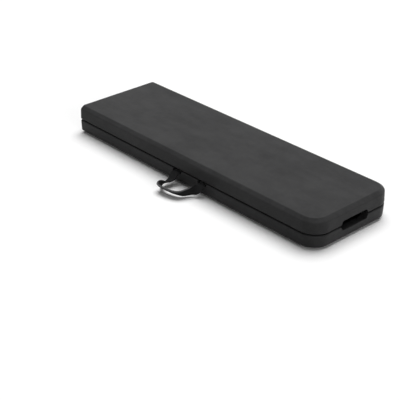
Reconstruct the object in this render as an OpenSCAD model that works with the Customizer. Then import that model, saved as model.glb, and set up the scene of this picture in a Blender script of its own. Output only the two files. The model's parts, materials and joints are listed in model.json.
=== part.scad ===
// Fold-in-half camping bench, folded: two moulded seat halves hinged at one end,
// with a folding leg frame and a knee brace in each half and a webbing handle.
// Origin: middle of the base half's seat face, which lies flat on the ground.
// +X to the free end with the hand slot, -Y to the handle side, +Z up.

/* [Seat halves] */
// Length of one half
half_l = 900; // [820:1:980]
// Width of the seat
seat_w = 280; // [250:1:310]
// Thickness of one half
half_t = 40; // [39:0.5:44]
// Thickness of the seat panel over the recess
panel_t = 13; // [11:0.5:14]
// Width of the rim round the recess
rim_w = 20; // [16:0.5:24]
// Plan radius of the corners at the free end
corner_r = 49; // [36:1:64]
// Plan radius of the corners at the fold end
fold_corner_r = 6; // [3:0.5:10]
// Plan radius of the recess corners at the free end
recess_r = 20; // [10:1:28]
// Plan radius of the recess corners at the fold end
fold_recess_r = 4; // [2:0.5:5]
// Width of the sloping band round the seat face
edge_run = 11; // [8:0.5:14]
// Height of the sloping band round the seat face
edge_rise = 7.5; // [5:0.5:11]
// Radius that blends the sloping band into the seat face and the wall
edge_blend = 6; // [3:0.5:7]
// How far the wall leans in from the rim to the sloping band
wall_lean = 1.2; // [0.4:0.1:2]
// Radius of the rim's outer edge
rim_round = 2.5; // [1.5:0.1:4]
// Gap that stays open between the rims of the two closed halves, along their outside
rim_gap = 2.4; // [1:0.1:4]
// How far that gap reaches in from the outside
rim_gap_in = 9; // [6:0.5:12]
// Radius of the edges at the fold end
fold_round = 2; // [1:0.1:4]

/* [Hand slot] */
// Width of the slot at the parting line
slot_w = 100; // [92:1:120]
// Width of the slot at its floor
slot_floor_w = 85; // [64:1:90]
// Depth of the slot in each half
slot_depth = 13; // [10:0.5:16]
// Radius of the slot's inner corners
slot_r = 3; // [2:0.5:7]

/* [Underside] */
// Spacing of the tack-off dimples along the half
dimple_pitch = 65; // [55:1:90]
// Offset of the outer rows of dimples from the middle
dimple_row = 50; // [40:1:54]
// Radius of a dimple's mouth
dimple_r = 9; // [6:0.5:11]
// Depth of a dimple
dimple_depth = 9; // [5:0.5:10]

/* [Rails] */
// Width of a rail channel
rail_w = 16; // [14:0.5:18]
// Height of a rail channel
rail_h = 22; // [20:0.5:24]
// Sheet thickness of a rail
rail_wall = 1.6; // [1.2:0.1:2]
// Gap between a rail and the wall of the recess
rail_gap = 2; // [1:0.25:3]
// How far a rail runs past the leg pivot
rail_past = 34; // [24:1:50]
// Screws along each rail
rail_screws = 5; // [3:1:7]
// Radius of a rail screw
screw_r = 2.2; // [1.8:0.1:2.6]

/* [Hinge] */
// Distance of the hinge axis outside the fold end
hinge_gap = 1; // [0.6:0.1:2]
// Radius of a hinge pin
hinge_pin_r = 4; // [3:0.25:5]
// Thickness of a hinge ear
ear_t = 3; // [2.5:0.1:3.5]
// Radius of the ear round the pin
ear_r = 9; // [8:0.25:11]
// Length of the ear's plate on the rail
ear_plate_l = 46; // [36:1:60]

/* [Legs] */
// Distance of the leg pivot from the free end
leg_inset = 101; // [85:1:130]
// Outer diameter of a leg tube
leg_d = 20; // [18:0.5:21]
// Wall of a leg tube
leg_wall = 1.2; // [1:0.1:2]
// Diameter of the pivot tube
pivot_tube_d = 16; // [14:0.5:18]
// Radius of a leg pivot bolt
bolt_r = 4; // [3:0.25:4.5]
// Distance of the spreader from the leg pivot
spreader_at = 190; // [160:1:230]
// Diameter of the spreader
spreader_d = 12; // [10:0.5:14]
// Outer diameter of a foot cap
foot_d = 23.5; // [23:0.1:24.5]
// Length of a foot cap
foot_l = 30; // [22:1:40]
// Distance of a leg clip from the leg's foot
clip_from_foot = 65; // [50:1:90]
// Width of a leg clip along the leg
clip_l = 16; // [10:1:24]

/* [Brace] */
// Distance of the brace bracket from the leg pivot
bracket_at = 420; // [412:1:450]
// Height of a brace link
link_h = 14; // [12:0.5:16]
// Thickness of a brace link
link_t = 4; // [3:0.25:4.5]
// Radius of a link's eye at the bracket and at the knee
link_eye_r = 9; // [8:0.25:10]
// Radius of the brace pivot pin
brace_pin_r = 4; // [3:0.25:4.5]
// Sheet thickness of the bracket
bracket_t = 2.5; // [2:0.1:3]

/* [Handle] */
// Width of the webbing
strap_w = 25; // [20:0.5:30]
// Thickness of the webbing
strap_t = 2.6; // [2:0.1:3]
// Thickness of the doubled webbing at the grip
grip_t = 5; // [3.5:0.1:6]
// Distance between the two places where the webbing leaves the rim
strap_span = 96; // [80:1:110]
// Distance of the handle's middle from the middle of the half, towards the free end
strap_mid = 16; // [-30:1:40]
// Depth of a strap notch below the parting line
notch_depth = 9; // [7.5:0.5:11]

/* [Hidden] */
$fn = 48;

// Colours
shell_colour = [0.16, 0.16, 0.165];
steel_colour = [0.10, 0.10, 0.11];
zinc_colour = [0.62, 0.63, 0.64];
plastic_colour = [0.07, 0.07, 0.075];
webbing_colour = [0.05, 0.05, 0.055];

// Clearances
over = 1;
running = 0.06;
hole_gap = 0.05;
seat_gap = 0.3;
side_gap = 0.2;
arc_steps = 6;

// Places shared by both halves, in the base half
hinge_x = -half_l / 2 - hinge_gap;
hinge_z = half_t;
rail_y = seat_w / 2 - rim_w - rail_gap - rail_w / 2;
flange_y = rail_y - rail_w / 2;
rail_x0 = -half_l / 2 + rim_w + rail_gap;
foot_gap = 1.5;
leg_gap = 2;
leg_margin = 3;
leg_y = flange_y - leg_gap - leg_d / 2;
pivot_x = half_l / 2 - leg_inset;
pivot_z = panel_t + foot_gap + foot_d / 2;
rail_x1 = pivot_x + rail_past;
// The legs of both halves clear each other while the bench opens
leg_l = (pivot_x - hinge_x) / 2 - leg_margin;
foot_floor = 5;
foot_taper = 0.4;
foot_round = 3.5;
// Where a leg tube starts, cut to fit round the pivot tube
leg_root = pivot_tube_d / 3;
clip_x = pivot_x - leg_l + clip_from_foot;
clip_wall = 1.3;
spreader_x = pivot_x - spreader_at;
bracket_x = pivot_x - bracket_at;

// The two links lie flat along the half when folded and in one line when the leg is out
brace_reach = norm([spreader_at, bracket_at]);
brace_fold = bracket_at - spreader_at;
upper_link_l = (brace_reach - brace_fold) / 2;
knee_x = bracket_x - upper_link_l;
lane_gap = 0.5;
knee_boss_r = 6;
knee_boss_h = 2.5;
bracket_l = 48;
bracket_w = 26;
bracket_screw_x = 17;
upright_flank = 20;
upright_y = lane_gap + link_t + side_gap;

// Hinge lanes: the base ear lies inside the rail's inner flange and the lid ear outside it
pin_head_r = 7;
pin_head_h = 2.5;
base_lane = flange_y - ear_t;
lid_lane = flange_y + rail_wall;
ear_notch_w = 24;
ear_notch_y = flange_y + rail_wall / 2;
ear_floor_gap = 2;
ear_low = panel_t + ear_floor_gap - half_t;
ear_high = ear_low + rail_h - 2 * ear_floor_gap;
ear_setback = 6;
ear_plate_x = rail_x0 - hinge_x + ear_setback;
// Where the ear's arm starts on its round end: share of the radius, and the angles of its two edges
ear_root = 0.85;
ear_low_angle = 205;
ear_high_angle = 115;
// Where the first of an ear's two rivets sits, as a share of the plate's length
rivet_share = 0.25;
rivet_r = 2.5;
rivet_head_r = 4.5;
rivet_head_h = 1.8;

// Fasteners
screw_head_r = 4.4;
screw_head_h = 2.6;
// A pan head's straight side as a share of its height, and its flat top as a share of its radius
head_side = 0.45;
head_flat = 0.72;
screw_depth = 9;
bolt_head_r = 7;
bolt_head_h = 4;
bolt_grip = 26;

// Handle
notch_room = 3.5;
notch_w = strap_w + 2 * notch_room;
strap_side = seat_w / 2;
strap_z = half_t - notch_depth + strap_t / 2;
strap_axis_y = -(strap_side + strap_t);
tail_margin = 1;
tail_in = rim_w - tail_margin;
bead_swell = 0.2;
bead_r = strap_t / 2 + bead_swell;
plate_t = 1.6;
plate_l = 13;
plate_w = strap_w - 2 * tail_margin;
strap_screw_r = 1.8;
strap_screw_step = 12;
strap_screw_depth = 12;
strap_head_h = 2.2;
strap_head_r = 3.6;

// The loop from the left exit to the right exit: across as a share of the span, out from the rim,
// up, lean of the webbing's width from level to the leaning grip, and how far it is doubled
grip_lean = 50;
strap_steps = 3;
tangent_step = 0.05;
strap_route = [
    [-0.50, 0, 0, 0, 0],
    [-0.50, 5, -1.5, 0, 0],
    [-0.50, 10, -8, 0.03, 0],
    [-0.50, 17, -15, 0.1, 0],
    [-0.50, 31, -18, 0.32, 0],
    [-0.50, 46, -17.5, 0.7, 0.3],
    [-0.46, 57, -17, 0.95, 0.8],
    [-0.34, 61, -17, 1, 1],
    [-0.16, 60, -17.5, 1, 1],
    [0.01, 57, -18, 1, 1],
    [0.15, 52, -18, 1, 1],
    [0.24, 44, -18, 1, 0.9],
    [0.30, 33, -17, 0.95, 0.6],
    [0.36, 23, -15, 0.8, 0.2],
    [0.43, 16, -12, 0.42, 0],
    [0.49, 10, -7, 0.13, 0],
    [0.50, 5, -1.5, 0, 0],
    [0.50, 0, 0, 0, 0]
];

// Where the webbing leaves the rim, on the left (-1) and on the right (1)
function strap_exit(side) = strap_mid + side * strap_span / 2;

function unit(v) = v / norm(v);
function reversed(list) = [for (i = [len(list) - 1:-1:0]) list[i]];

// Arc that rounds the corner b between a and c with radius r
function corner_arc(a, b, c, r) =
    let (
        u = unit(a - b),
        w = unit(c - b),
        h = acos(u * w) / 2,
        m = b + unit(u + w) * r / sin(h),
        s = b + u * r / tan(h) - m,
        e = b + w * r / tan(h) - m,
        a0 = atan2(s.y, s.x),
        turn = (atan2(e.y, e.x) - a0 + 540) % 360 - 180
    )
    [for (i = [0:arc_steps]) m + r * [cos(a0 + turn * i / arc_steps), sin(a0 + turn * i / arc_steps)]];

// Rectangle from [x0, y0] to [x1, y1] with one corner radius at each end in X
function round_plan(x0, x1, y0, y1, r0, r1) = concat(
    corner_arc([x1, y0], [x0, y0], [x0, y1], r0),
    corner_arc([x0, y0], [x0, y1], [x1, y1], r0),
    corner_arc([x0, y1], [x1, y1], [x1, y0], r1),
    corner_arc([x1, y1], [x1, y0], [x0, y0], r1)
);

// Outer wall of a half as [distance from the widest line, height], from the rim to the seat face
rim_edge_z = half_t - rim_gap / 2;
wall_profile = concat(
    [[-rim_gap_in, half_t], [-rim_gap_in, rim_edge_z]],
    corner_arc([-rim_gap_in, rim_edge_z], [0, rim_edge_z], [-wall_lean, edge_rise], rim_round),
    corner_arc([0, rim_edge_z], [-wall_lean, edge_rise], [-wall_lean - edge_run, 0], edge_blend),
    corner_arc([-wall_lean, edge_rise], [-wall_lean - edge_run, 0], [-corner_r, 0], edge_blend)
);

// Turns a drawing of [Y, Z] into a bar along X
module along_x(x0, x1) {
    translate([x0, 0, 0])
        rotate([90, 0, 90])
            linear_extrude(x1 - x0)
                children();
}

// Turns a drawing of [X, Z] into a plate from y0 to y1
module along_y(y0, y1) {
    translate([0, y1, 0])
        rotate([90, 0, 0])
            linear_extrude(y1 - y0)
                children();
}

// A round bar along Y
module rod_y(x, z, r, y0, y1) {
    translate([x, y0, z])
        rotate([-90, 0, 0])
            cylinder(r = r, h = y1 - y0);
}

// Places the lid's pieces: the lid is the base half turned over, rim to rim
module lid() {
    translate([0, 0, 2 * half_t])
        mirror([0, 0, 1])
            children();
}

// A piece of the front side, made from the one at the rear
module front() {
    mirror([0, 1, 0])
        children();
}

// The full moulded body of one half before the recess is taken out
module half_body() {
    end_x = half_l / 2 - corner_r;
    side_y = seat_w / 2 - corner_r;
    half_section = [for (p = wall_profile) [seat_w / 2 + p.x, p.y]];
    intersection() {
        along_x(-half_l / 2, half_l / 2)
            polygon(concat(half_section, reversed([for (p = half_section) [-p.x, p.y]])));
        along_y(-seat_w, seat_w)
            polygon(concat(
                corner_arc([end_x, 0], [-half_l / 2, 0], [-half_l / 2, rim_edge_z], fold_round),
                corner_arc([-half_l / 2, 0], [-half_l / 2, rim_edge_z], [end_x, rim_edge_z], fold_round),
                [[-half_l / 2 + rim_gap_in, rim_edge_z], [-half_l / 2 + rim_gap_in, half_t]],
                [[end_x, half_t], [end_x, 0]]
            ));
        linear_extrude(half_t)
            polygon(concat(
                corner_arc([end_x, -seat_w / 2], [-half_l / 2, -seat_w / 2],
                    [-half_l / 2, seat_w / 2], fold_corner_r),
                corner_arc([-half_l / 2, -seat_w / 2], [-half_l / 2, seat_w / 2],
                    [end_x, seat_w / 2], fold_corner_r),
                [[end_x, seat_w / 2], [end_x, -seat_w / 2]]
            ));
    }
    intersection() {
        along_y(-seat_w, seat_w)
            polygon(concat(
                [for (p = wall_profile) [half_l / 2 + p.x, p.y]],
                [[end_x, 0], [end_x, half_t]]
            ));
        linear_extrude(half_t)
            polygon([[end_x, -side_y], [half_l, -side_y], [half_l, side_y], [end_x, side_y]]);
    }
    for (turn = [0, -90])
        translate([end_x, turn == 0 ? side_y : -side_y, 0])
            rotate([0, 0, turn])
                rotate_extrude(angle = 90)
                    polygon(concat(
                        [for (p = wall_profile) [corner_r + p.x, p.y]],
                        [[0, 0], [0, half_t]]
                    ));
}

// Half of the hand slot, cut through the rim at the free end
module hand_slot() {
    slot_top = [[-slot_w / 2 - over, half_t + over], [slot_w / 2 + over, half_t + over]];
    mouth = [[-slot_w / 2, half_t], [slot_w / 2, half_t]];
    floor_pts = [[-slot_floor_w / 2, half_t - slot_depth], [slot_floor_w / 2, half_t - slot_depth]];
    along_x(half_l / 2 - rim_w - over, half_l / 2 + over)
        polygon(concat(
            [slot_top[1], slot_top[0], mouth[0]],
            corner_arc(mouth[0], floor_pts[0], floor_pts[1], slot_r),
            corner_arc(floor_pts[0], floor_pts[1], mouth[1], slot_r),
            [mouth[1]]
        ));
}

// Tack-off dimples in the panel, clear of the bracket
module dimples() {
    reach = half_l / 2 - rim_w - recess_r - dimple_r;
    count = floor(reach / dimple_pitch);
    for (i = [-count:count], j = [-1:1])
        if (j != 0 || abs(i * dimple_pitch - bracket_x) > bracket_l / 2 + dimple_r)
            translate([i * dimple_pitch, j * dimple_row, panel_t - dimple_depth])
                rotate_extrude()
                    polygon([
                        [0, 0], [dimple_r / 2, 0], [dimple_r, dimple_depth],
                        [dimple_r, dimple_depth + over], [0, dimple_depth + over]
                    ]);
}

// Screw places along one rail
function rail_screw_x(i) =
    rail_x0 + ear_plate_x + ear_plate_l
    + i * (pivot_x - bolt_head_r * 2 - rail_x0 - ear_plate_x - ear_plate_l) / (rail_screws - 1);

module shell(strapped) {
    color(shell_colour)
        difference() {
            half_body();
            translate([0, 0, panel_t])
                linear_extrude(half_t)
                    polygon(round_plan(-half_l / 2 + rim_w, half_l / 2 - rim_w,
                        -seat_w / 2 + rim_w, seat_w / 2 - rim_w, fold_recess_r, recess_r));
            hand_slot();
            dimples();
            for (side = [-1, 1]) {
                translate([-half_l / 2 - over, side * ear_notch_y - ear_notch_w / 2,
                    panel_t + ear_floor_gap])
                    cube([rim_w + 2 * over, ear_notch_w, half_t]);
                for (i = [0:rail_screws - 1])
                    translate([rail_screw_x(i), side * rail_y, panel_t - screw_depth])
                        cylinder(r = screw_r + hole_gap, h = screw_depth + over);
                translate([bracket_x + side * bracket_screw_x, 0, panel_t - screw_depth])
                    cylinder(r = screw_r + hole_gap, h = screw_depth + over);
            }
            if (strapped)
                for (side = [-1, 1]) {
                    translate([strap_exit(side) - notch_w / 2, -seat_w / 2 - over,
                        half_t - notch_depth])
                        cube([notch_w, rim_w + 2 * over, half_t]);
                    strap_screw_places(side)
                        translate([0, 0, half_t - notch_depth - strap_screw_depth])
                            cylinder(r = strap_screw_r + hole_gap, h = strap_screw_depth + over);
                }
        }
}

module rail() {
    color(steel_colour)
        difference() {
            along_x(rail_x0, rail_x1)
                difference() {
                    translate([flange_y, panel_t])
                        square([rail_w, rail_h]);
                    translate([flange_y + rail_wall, panel_t + rail_wall])
                        square([rail_w - 2 * rail_wall, rail_h]);
                }
            rod_y(pivot_x, pivot_z, bolt_r + hole_gap, flange_y - over, rail_y);
            ear_rivet_places()
                rod_y(0, 0, rivet_r + hole_gap, flange_y - over, rail_y);
            for (i = [0:rail_screws - 1])
                translate([rail_screw_x(i), rail_y, panel_t - over])
                    cylinder(r = screw_r + hole_gap, h = rail_wall + 2 * over);
        }
}

module rail_screw_set() {
    color(zinc_colour)
        for (side = [-1, 1], i = [0:rail_screws - 1])
            translate([rail_screw_x(i), side * rail_y, panel_t])
                screw(screw_r, screw_depth - over, rail_wall, screw_head_r, screw_head_h);
}

// A pan-head screw: its shank runs below z = 0, its head sits on a sheet of the given thickness
module screw(r, depth, sheet, head_r, head_h) {
    translate([0, 0, -depth])
        cylinder(r = r, h = depth + sheet + head_h / 2);
    translate([0, 0, sheet])
        rotate_extrude()
            polygon([
                [0, 0], [head_r, 0], [head_r, head_h * head_side],
                [head_r * head_flat, head_h], [0, head_h]
            ]);
}

// Centres of an ear's two rivets
module ear_rivet_places() {
    for (share = [rivet_share, 1 - rivet_share])
        translate([hinge_x + ear_plate_x + share * ear_plate_l, 0, half_t + (ear_low + ear_high) / 2])
            children();
}

// A hinge ear: a plate on the rail's flange and an arm up to the pin
module hinge_ear(lane) {
    plate_end = ear_plate_x + ear_plate_l;
    color(steel_colour)
        difference() {
            union() {
                rod_y(hinge_x, hinge_z, ear_r, lane, lane + ear_t);
                translate([hinge_x, 0, hinge_z])
                    along_y(lane, lane + ear_t)
                        polygon([
                            [plate_end, ear_high], [plate_end, ear_low], [ear_plate_x, ear_low],
                            ear_r * ear_root * [cos(ear_low_angle), sin(ear_low_angle)],
                            ear_r * ear_root * [cos(ear_high_angle), sin(ear_high_angle)],
                            [ear_plate_x, ear_high]
                        ]);
            }
            rod_y(hinge_x, hinge_z, hinge_pin_r + running, lane - over, lane + ear_t + over);
            ear_rivet_places()
                rod_y(0, 0, rivet_r + hole_gap, lane - over, lane + ear_t + over);
        }
}

// Rivets through the ear and the flange, with a head on each side
module ear_rivet_set(lane) {
    low = min(lane, flange_y);
    high = max(lane + ear_t, flange_y + rail_wall);
    color(zinc_colour)
        for (side = [0, 1])
            mirror([0, side, 0])
                ear_rivet_places() {
                    rod_y(0, 0, rivet_r, low - rivet_head_h / 2, high + rivet_head_h / 2);
                    rod_y(0, 0, rivet_head_r, low - rivet_head_h, low);
                    rod_y(0, 0, rivet_head_r, high, high + rivet_head_h);
                }
}

module hinge_pin_set() {
    low = base_lane - side_gap;
    high = lid_lane + ear_t + side_gap;
    color(zinc_colour)
        for (side = [0, 1])
            mirror([0, side, 0]) {
                rod_y(hinge_x, hinge_z, hinge_pin_r, low - pin_head_h / 2, high + pin_head_h / 2);
                rod_y(hinge_x, hinge_z, pin_head_r, low - pin_head_h, low);
                rod_y(hinge_x, hinge_z, pin_head_r, high, high + pin_head_h);
            }
}

module hinge_washer_set() {
    color(zinc_colour)
        for (side = [0, 1])
            mirror([0, side, 0])
                difference() {
                    rod_y(hinge_x, hinge_z, pin_head_r, base_lane + ear_t + side_gap / 2,
                        lid_lane - side_gap / 2);
                    rod_y(hinge_x, hinge_z, hinge_pin_r + running, base_lane, lid_lane + ear_t);
                }
}

// Turns a shape built along +Z into one along the folded leg, from the pivot to the foot
module along_leg(y) {
    translate([pivot_x, y, pivot_z])
        rotate([0, -90, 0])
            children();
}

module leg_tube() {
    color(steel_colour)
        difference() {
            along_leg(leg_y)
                translate([0, 0, leg_root])
                    difference() {
                        cylinder(d = leg_d, h = leg_l - foot_floor - leg_root);
                        translate([0, 0, -over])
                            cylinder(d = leg_d - 2 * leg_wall, h = leg_l);
                    }
            rod_y(pivot_x, pivot_z, pivot_tube_d / 2, 0, flange_y);
        }
}

module pivot_tube() {
    color(steel_colour)
        difference() {
            rod_y(pivot_x, pivot_z, pivot_tube_d / 2, -flange_y + 2 * seat_gap, flange_y - 2 * seat_gap);
            rod_y(pivot_x, pivot_z, bolt_r + running, -flange_y, flange_y);
        }
}

module spreader() {
    color(steel_colour)
        difference() {
            rod_y(spreader_x, pivot_z, spreader_d / 2, -leg_y, leg_y);
            for (side = [-1, 1])
                translate([spreader_x - leg_d, side * leg_y, pivot_z])
                    rotate([0, 90, 0])
                        cylinder(d = leg_d, h = 2 * leg_d);
        }
}

module foot_cap_pair() {
    foot_r = foot_d / 2;
    color(plastic_colour)
        for (side = [-1, 1])
            along_leg(side * leg_y)
                translate([0, 0, leg_l])
                    rotate_extrude()
                        polygon(concat(
                            [[0, -foot_floor], [leg_d / 2 + hole_gap, -foot_floor],
                                [leg_d / 2 + hole_gap, -foot_l], [foot_r - foot_taper, -foot_l]],
                            corner_arc([foot_r - foot_taper, -foot_l], [foot_r, 0], [0, 0], foot_round),
                            [[0, 0]]
                        ));
}

module pivot_bolt_pair() {
    seat = flange_y + rail_wall;
    color(zinc_colour)
        for (side = [0, 1])
            mirror([0, side, 0]) {
                rod_y(pivot_x, pivot_z, bolt_r, seat - bolt_grip, seat + bolt_head_h / 2);
                rod_y(pivot_x, pivot_z, bolt_head_r, seat, seat + bolt_head_h);
            }
}

// Saddles that carry the folded legs
module leg_clip_pair() {
    seat_r = leg_d / 2 + seat_gap;
    color(plastic_colour)
        for (side = [-1, 1])
            along_x(clip_x - clip_l / 2, clip_x + clip_l / 2)
                difference() {
                    translate([side * leg_y - seat_r - clip_wall, panel_t])
                        square([2 * (seat_r + clip_wall), pivot_z - panel_t]);
                    translate([side * leg_y, pivot_z])
                        circle(r = seat_r);
                }
}

// A bent bracket: a foot on the panel and one upright that carries the brace's upper link
module brace_bracket() {
    color(steel_colour)
        difference() {
            union() {
                translate([bracket_x - bracket_l / 2, upright_y + bracket_t - bracket_w, panel_t])
                    cube([bracket_l, bracket_w, bracket_t]);
                along_y(upright_y, upright_y + bracket_t)
                    union() {
                        translate([bracket_x, pivot_z])
                            circle(r = link_eye_r);
                        polygon([
                            [bracket_x - bracket_l / 3, panel_t], [bracket_x + bracket_l / 3, panel_t],
                            [bracket_x + link_eye_r * cos(upright_flank),
                                pivot_z + link_eye_r * sin(upright_flank)],
                            [bracket_x - link_eye_r * cos(upright_flank),
                                pivot_z + link_eye_r * sin(upright_flank)]
                        ]);
                    }
            }
            rod_y(bracket_x, pivot_z, brace_pin_r + hole_gap, 0, upright_y + bracket_t + over);
            for (side = [-1, 1])
                translate([bracket_x + side * bracket_screw_x, 0, panel_t - over])
                    cylinder(r = screw_r + hole_gap, h = bracket_t + 2 * over);
        }
}

module brace_pin() {
    outer = upright_y + bracket_t;
    color(zinc_colour) {
        rod_y(bracket_x, pivot_z, brace_pin_r, lane_gap, outer + knee_boss_h / 2);
        rod_y(bracket_x, pivot_z, brace_pin_r + knee_boss_h, outer, outer + knee_boss_h);
    }
}

module bracket_screw_pair() {
    color(zinc_colour)
        for (side = [-1, 1])
            translate([bracket_x + side * bracket_screw_x, 0, panel_t])
                screw(screw_r, screw_depth - over, bracket_t, screw_head_r, screw_head_h);
}

// A flat link between two eyes
module link_plate(x0, r0, x1, r1, y0) {
    along_y(y0, y0 + link_t)
        union() {
            translate([x0, pivot_z])
                circle(r = r0);
            translate([x1, pivot_z])
                circle(r = r1);
            translate([min(x0, x1), pivot_z - link_h / 2])
                square([abs(x1 - x0), link_h]);
        }
}

// The upper link, from the bracket to the knee, with its half of the knee rivet
module upper_link() {
    color(steel_colour) {
        difference() {
            link_plate(bracket_x, link_eye_r, knee_x, link_eye_r, lane_gap);
            rod_y(bracket_x, pivot_z, brace_pin_r + running, 0, upright_y);
        }
        rod_y(knee_x, pivot_z, knee_boss_r, lane_gap + link_t / 2, lane_gap + link_t + knee_boss_h);
    }
}

// The lower link, from the spreader to the knee, with its half of the knee rivet
module lower_link() {
    color(steel_colour) {
        difference() {
            link_plate(spreader_x, spreader_d, knee_x, link_eye_r, -lane_gap - link_t);
            rod_y(spreader_x, pivot_z, spreader_d / 2 + running, -leg_y, 0);
        }
        rod_y(knee_x, pivot_z, knee_boss_r, -lane_gap - link_t - knee_boss_h, -lane_gap - link_t / 2);
    }
}

// A smooth station of the loop: u counts the stations of the route
function strap_station(u) =
    let (
        n = len(strap_route) - 1,
        i = min(floor(u), n - 1),
        f = u - i,
        p0 = strap_route[max(i - 1, 0)],
        p1 = strap_route[i],
        p2 = strap_route[i + 1],
        p3 = strap_route[min(i + 2, n)]
    )
    p1 + f * (p2 - p0) / 2 + f * f * (2 * p0 - 5 * p1 + 4 * p2 - p3) / 2
    + f * f * f * (3 * p1 - p0 - 3 * p2 + p3) / 2;

function strap_point(s) = [strap_mid + s[0] * strap_span, strap_axis_y - s[1], strap_z + s[2]];

// One ring of the webbing's section: its width turns from level across the exit to the leaning grip
function strap_ring(u) =
    let (
        n = len(strap_route) - 1,
        s = strap_station(u),
        along = unit(strap_point(strap_station(min(u + tangent_step, n)))
            - strap_point(strap_station(max(u - tangent_step, 0)))),
        level = [u < n / 2 ? 1 : -1, 0, 0],
        raw = level * cos(90 * s[3]) + [0, -sin(grip_lean), cos(grip_lean)] * sin(90 * s[3]),
        width = unit(raw - along * (raw * along)),
        thick = cross(along, width),
        t = strap_t + (grip_t - strap_t) * max(s[4], 0)
    )
    [for (k = [[-1, -1], [1, -1], [1, 1], [-1, 1]])
        strap_point(s) + width * k.x * strap_w / 2 + thick * k.y * t / 2];

module strap_loop() {
    stations = (len(strap_route) - 1) * strap_steps;
    rings = [for (i = [0:stations]) strap_ring(i / strap_steps)];
    n = len(rings);
    color(webbing_colour) {
        polyhedron(
            points = [for (ring = rings) each ring],
            faces = concat(
                [[0, 1, 2], [0, 2, 3]],
                [for (i = [0:n - 2], k = [0:3]) let (a = 4 * i + k, b = 4 * i + (k + 1) % 4)
                    each [[a, a + 4, b], [b, a + 4, b + 4]]],
                [[4 * n - 4, 4 * n - 2, 4 * n - 3], [4 * n - 4, 4 * n - 1, 4 * n - 2]]
            )
        );
        for (side = [-1, 1])
            translate([strap_exit(side) - strap_w / 2, strap_axis_y, strap_z])
                rotate([0, 90, 0])
                    cylinder(r = bead_r, h = strap_w);
    }
}

// Centres of the two screws in one strap plate
module strap_screw_places(side) {
    for (k = [-1, 1])
        translate([strap_exit(side) + k * strap_screw_step / 2, -seat_w / 2 + rim_w / 2, 0])
            children();
}

module strap_tail_pair() {
    color(webbing_colour)
        for (side = [-1, 1])
            difference() {
                translate([strap_exit(side) - strap_w / 2, strap_axis_y + bead_r + seat_gap,
                    half_t - notch_depth])
                    cube([strap_w, tail_in + strap_t - bead_r - seat_gap, strap_t]);
                strap_screw_places(side)
                    cylinder(r = strap_screw_r + hole_gap, h = half_t);
            }
}

module strap_plate_pair() {
    color(steel_colour)
        for (side = [-1, 1])
            difference() {
                translate([strap_exit(side) - plate_w / 2, -seat_w / 2 + (rim_w - plate_l) / 2,
                    half_t - notch_depth + strap_t])
                    cube([plate_w, plate_l, plate_t]);
                strap_screw_places(side)
                    cylinder(r = strap_screw_r + hole_gap, h = half_t);
            }
}

module strap_screw_set() {
    color(zinc_colour)
        for (side = [-1, 1])
            strap_screw_places(side)
                translate([0, 0, half_t - notch_depth])
                    screw(strap_screw_r, strap_screw_depth - over, strap_t + plate_t, strap_head_r,
                        strap_head_h);
}

shell(true);  // base_shell
lid() shell(false);  // lid_shell
front() rail();  // base_front_rail
rail();  // base_rear_rail
lid() front() rail();  // lid_front_rail
lid() rail();  // lid_rear_rail
front() hinge_ear(base_lane);  // base_front_hinge_ear
hinge_ear(base_lane);  // base_rear_hinge_ear
lid() front() hinge_ear(lid_lane);  // lid_front_hinge_ear
lid() hinge_ear(lid_lane);  // lid_rear_hinge_ear
ear_rivet_set(base_lane);  // base_ear_rivets
lid() ear_rivet_set(lid_lane);  // lid_ear_rivets
rail_screw_set();  // base_rail_screws
lid() rail_screw_set();  // lid_rail_screws
hinge_pin_set();  // hinge_pins
hinge_washer_set();  // hinge_washers
front() leg_tube();  // base_front_leg
leg_tube();  // base_rear_leg
lid() front() leg_tube();  // lid_front_leg
lid() leg_tube();  // lid_rear_leg
pivot_tube();  // base_leg_pivot_tube
lid() pivot_tube();  // lid_leg_pivot_tube
spreader();  // base_leg_spreader
lid() spreader();  // lid_leg_spreader
foot_cap_pair();  // base_foot_caps
lid() foot_cap_pair();  // lid_foot_caps
pivot_bolt_pair();  // base_leg_pivot_bolts
lid() pivot_bolt_pair();  // lid_leg_pivot_bolts
leg_clip_pair();  // base_leg_clips
lid() leg_clip_pair();  // lid_leg_clips
brace_bracket();  // base_brace_bracket
lid() brace_bracket();  // lid_brace_bracket
brace_pin();  // base_brace_pivot_pin
lid() brace_pin();  // lid_brace_pivot_pin
bracket_screw_pair();  // base_bracket_screws
lid() bracket_screw_pair();  // lid_bracket_screws
upper_link();  // base_brace_upper_link
lid() upper_link();  // lid_brace_upper_link
lower_link();  // base_brace_lower_link
lid() lower_link();  // lid_brace_lower_link
strap_loop();  // handle_strap
strap_tail_pair();  // strap_tails
strap_plate_pair();  // strap_plates
strap_screw_set();  // strap_screws
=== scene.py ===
"""Fold-in-half camping bench: moulded halves, webbing handle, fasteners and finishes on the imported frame."""
import json
import math
from collections import namedtuple

import bmesh
import bpy
from mathutils import Matrix, Vector


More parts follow.
